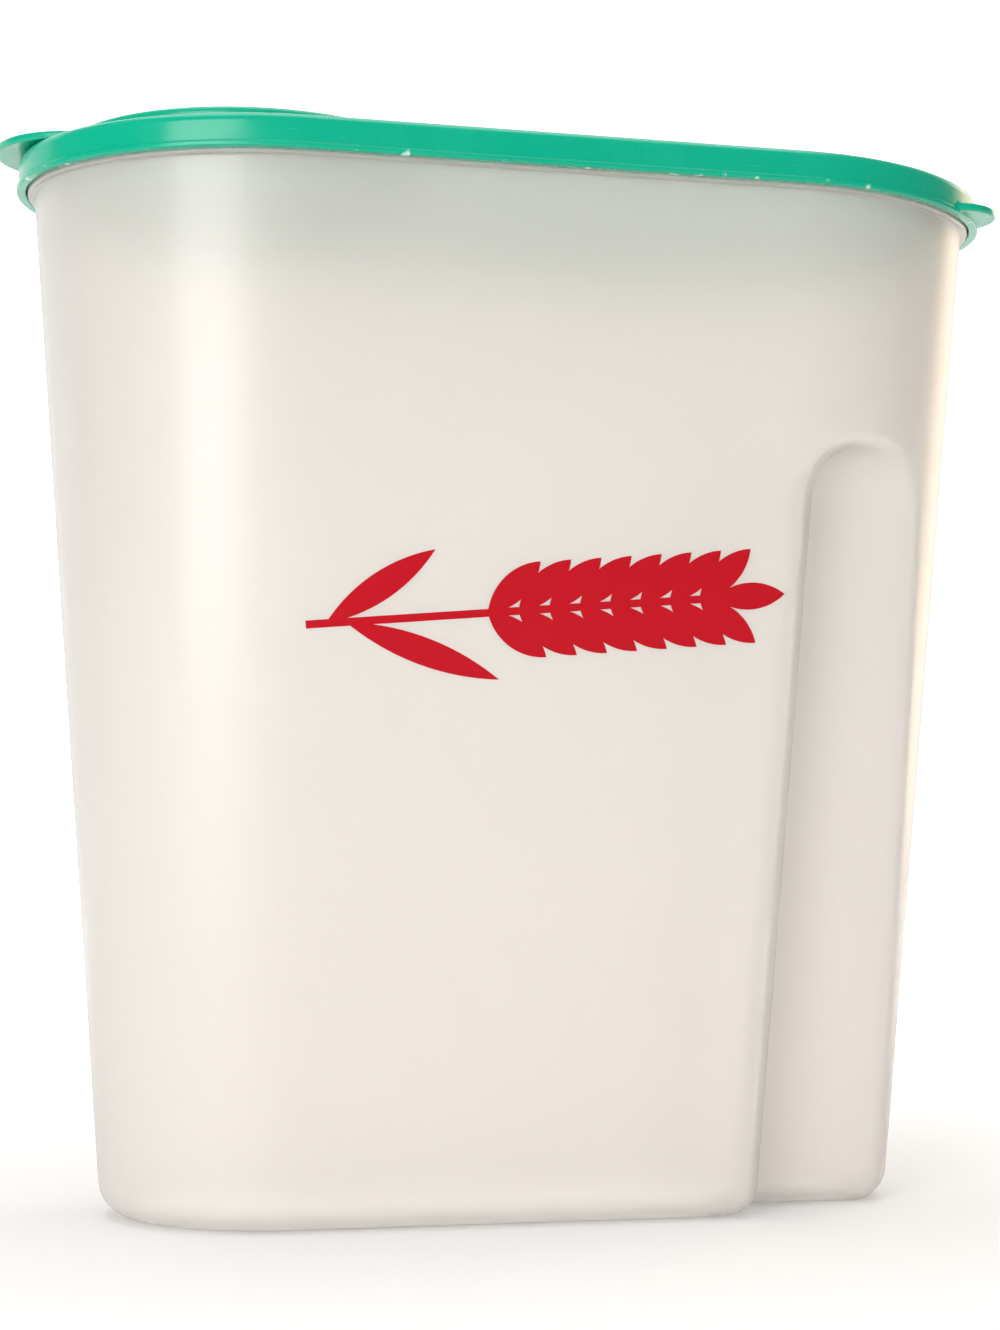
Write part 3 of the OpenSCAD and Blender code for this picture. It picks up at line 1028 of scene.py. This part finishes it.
class MakeCap(bpy.types.Operator):
    """Builds the round flip cap with its plug ring, thumb tab and hinge barrel"""

    bl_idname = "cereal.make_cap"
    bl_label = "Flip cap"

    def execute(self, context):
        groups = settings(context)
        cap = groups.cap
        fit = Fit(groups)
        parts = Parts()
        self.disc(parts, fit, cap)
        self.thumb_tab(parts, fit, cap)
        self.arm(parts, fit, cap)
        self.barrel(parts, fit, cap)
        piece = parts.moulding("flip_cap_moulding")
        green, _, _ = green_plastic("cap_green", groups.lid.tint)
        piece.data.materials.append(green)
        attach(piece, "flip_cap")
        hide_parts("flip_cap")
        return {"FINISHED"}

    def disc(self, parts, fit, cap):
        """The round plate with its skirt and the plug ring under it."""
        small = 0.4 * MM
        parts.solid(turned(fit.spout_x, rounded([
            (fit.cap_r / 2, fit.cap_top, 0),
            (fit.cap_r, fit.cap_top, cap.edge),
            (fit.cap_r, fit.cap_bottom, small),
            (fit.cap_in, fit.cap_bottom, small),
            (fit.cap_in, fit.cap_plate, small),
            (fit.plug_out, fit.cap_plate, small),
            (fit.plug_out, fit.plug_bottom, small),
            (fit.plug_in, fit.plug_bottom, small),
            (fit.plug_in, fit.cap_plate, small),
            (fit.cap_r / 2, fit.cap_plate, 0),
        ])))

    def thumb_tab(self, parts, fit, cap):
        """The tab that reaches over the rim at the pouring end."""

        def wall(points):
            off = points - (fit.spout_x, 0)
            radius = np.hypot(*off.T)
            return radius - fit.cap_r, off / radius[:, None]

        crescent(
            parts, (fit.thumb_x, 0), cap.thumb_radius, wall, fit.cap_r - fit.cap_mid,
            fit.thumb_bottom, fit.thumb_bottom + cap.thumb, edge=0.7 * MM,
        )

    def arm(self, parts, fit, cap):
        """The flat arm between the cap's skirt and the hinge barrel."""
        bevel = 0.3 * MM
        half = cap.barrel_half
        rows = []
        for y, thin in ((-half, bevel), (bevel - half, 0), (0, 0), (half - bevel, 0), (half, bevel)):
            x = fit.spout_x + math.sqrt(fit.cap_mid**2 - y**2)
            low = fit.hinge_z - cap.arm / 2 + thin
            high = fit.hinge_z + cap.arm / 2 - thin
            rows.append([(x, y, low), (fit.hinge_x, y, low), (fit.hinge_x, y, high), (x, y, high)])
        parts.solid(rows)

    def barrel(self, parts, fit, cap):
        """The hinge barrel with a trunnion at each end."""
        small = 0.3 * MM
        line = rounded([
            (cap.pin / 2, -fit.post_out, 0),
            (cap.pin, -fit.post_out, small),
            (cap.pin, -cap.barrel_half, small / 2),
            (cap.barrel, -cap.barrel_half, small),
            (cap.barrel, cap.barrel_half, small),
            (cap.pin, cap.barrel_half, small / 2),
            (cap.pin, fit.post_out, small),
            (cap.pin / 2, fit.post_out, 0),
        ])
        parts.solid(turned_y(fit.hinge_x, fit.hinge_z, line))


class SetStage(bpy.types.Operator):
    """Sets the floor, the backdrop, the soft lamps and the camera"""

    bl_idname = "cereal.set_stage"
    bl_label = "Stage"

    def execute(self, context):
        stage = settings(context).stage
        scene = context.scene
        scene.view_settings.view_transform = "Standard"
        self.floor(stage)
        self.world(scene, stage)
        self.lamps()
        self.camera(scene, stage)
        return {"FINISHED"}

    def seen(self, graph, *rays):
        """1 for the kinds of rays named, and 0 for the rest."""
        path = graph.add("ShaderNodeLightPath").outputs
        total = path[rays[0]]
        for ray in rays[1:]:
            total = graph.math("MAXIMUM", total, path[ray])
        return total

    def paper(self, stage):
        """Pale paper that shows white away from the object and keeps the shadow near it."""
        material, graph, shader = new_material("studio_paper")
        far = graph.add("ShaderNodeVectorMath", {0: graph.place()}, operation="LENGTH").outputs["Value"]
        fade = graph.add("ShaderNodeMapRange", {
            "Value": far, "From Min": 0.15, "From Max": 0.8, "To Min": stage.near_glow, "To Max": 1.0,
        }, interpolation_type="SMOOTHSTEP").outputs["Result"]
        direct = graph.math("MULTIPLY", self.seen(graph, "Is Camera Ray", "Is Glossy Ray"), fade)
        through = graph.math("MULTIPLY", self.seen(graph, "Is Transmission Ray"), stage.through_glow)
        graph.feed(shader, {
            "Base Color": stage.floor,
            "Roughness": 0.9,
            "Specular IOR Level": 0.0,
            "Emission Color": WHITE,
            "Emission Strength": graph.math("MAXIMUM", direct, through),
        })
        return material

    def floor(self, stage):
        """The wide floor, and a backdrop that stands far behind the object."""
        half = 6.0
        back = 3.0
        rise = 4.0
        paper = self.paper(stage)
        for name, corners in (
            ("floor", [(-half, -half, 0), (half, -half, 0), (half, half, 0), (-half, half, 0)]),
            ("backdrop", [(-half, back, 0), (half, back, 0), (half, back, rise), (-half, back, rise)]),
        ):
            mesh = bpy.data.meshes.new(name)
            mesh.from_pydata(corners, [], [(0, 1, 2, 3)])
            mesh.materials.append(paper)
            placed(name, mesh)

    def world(self, scene, stage):
        """White where it is seen, dimmer in reflections, and a plain level of light for the rest."""
        scene.world = bpy.data.worlds.new("studio")
        scene.world.use_nodes = True
        scene.world.node_tree.nodes.clear()
        graph = Graph(scene.world.node_tree)

        def light(level):
            return graph.add("ShaderNodeBackground", {"Color": WHITE, "Strength": level}).outputs[0]

        total = light(stage.room_light)
        for level, rays in (
            (stage.room_gloss, ["Is Glossy Ray"]),
            (1.0, ["Is Camera Ray", "Is Transmission Ray"]),
        ):
            mix = graph.add("ShaderNodeMixShader", {0: self.seen(graph, *rays), 1: total, 2: light(level)})
            total = mix.outputs[0]
        graph.add("ShaderNodeOutputWorld", {"Surface": total})

    def lamps(self):
        """Soft boxes at the front left, at the right behind the object, and overhead."""
        target = Vector((0, 0, 0.14))
        for name, place, size, power, tint in (
            ("lamp_left", (-0.85, -1.1, 0.42), (0.7, 0.8), 10.8, (1.0, 0.99, 0.97)),
            ("lamp_right", (1.1, 0.6, 0.42), (0.5, 0.8), 3.5, (1.0, 0.72, 0.46)),
            ("lamp_top", (0.0, 0.1, 1.5), (1.2, 1.0), 10.0, (1.0, 1.0, 1.0)),
        ):
            lamp = bpy.data.lights.new(name, "AREA")
            lamp.shape = "RECTANGLE"
            lamp.size, lamp.size_y = size
            lamp.energy = power
            lamp.color = tint
            piece = placed(name, lamp)
            piece.location = place
            aim = target - Vector(place)
            piece.rotation_euler = aim.to_track_quat("-Z", "Y").to_euler()

    def camera(self, scene, stage):
        """The camera at the photograph's angle."""
        data = bpy.data.cameras.new("camera")
        data.sensor_fit = "VERTICAL"
        data.sensor_height = 36.0
        data.lens = stage.lens
        data.shift_y = stage.shift
        data.clip_start = 0.01
        data.clip_end = 50.0
        piece = placed("camera", data)
        turn = Matrix.Rotation(-stage.yaw, 4, "Z") @ Matrix.Rotation(math.pi / 2, 4, "X")
        turn = turn @ Matrix.Rotation(stage.roll, 4, "Z")
        piece.matrix_world = Matrix.Translation((stage.eye_x, stage.eye_y, stage.eye_z)) @ turn
        scene.camera = piece


# --- Panel and registration ---


class ContainerPanel(bpy.types.Panel):
    """Lists the pieces of the container"""

    bl_idname = "CEREAL_PT_container"
    bl_label = "Cereal Container"
    bl_space_type = "VIEW_3D"
    bl_region_type = "UI"
    bl_category = "Container"

    def draw(self, context):
        for name, operator in OPERATORS.items():
            self.layout.operator(operator.bl_idname)
            values = getattr(settings(context), name)
            for key in values.__annotations__:
                self.layout.prop(values, key)


GROUPS = (ContainerSizes, LidSizes, CapSizes, PrintLook, StageSizes, ContainerSettings)
OPERATORS = {
    "container": MakeContainer,
    "print": MakePrint,
    "lid": MakeLid,
    "cap": MakeCap,
    "stage": SetStage,
}
CLASSES = (*GROUPS, *OPERATORS.values(), ContainerPanel)


def register():
    """Registers the classes and hangs the settings on the scene."""
    for cls in CLASSES:
        bpy.utils.register_class(cls)
    bpy.types.Scene.container_settings = PointerProperty(type=ContainerSettings)


def unregister():
    """Takes the settings and the classes away again."""
    del bpy.types.Scene.container_settings
    for cls in reversed(CLASSES):
        bpy.utils.unregister_class(cls)


def main():
    """Builds every piece and the stage."""
    register()
    bpy.ops.cereal.make_container()
    bpy.ops.cereal.make_print()
    bpy.ops.cereal.make_lid()
    bpy.ops.cereal.make_cap()
    bpy.ops.cereal.set_stage()


if __name__ == "__main__":
    main()
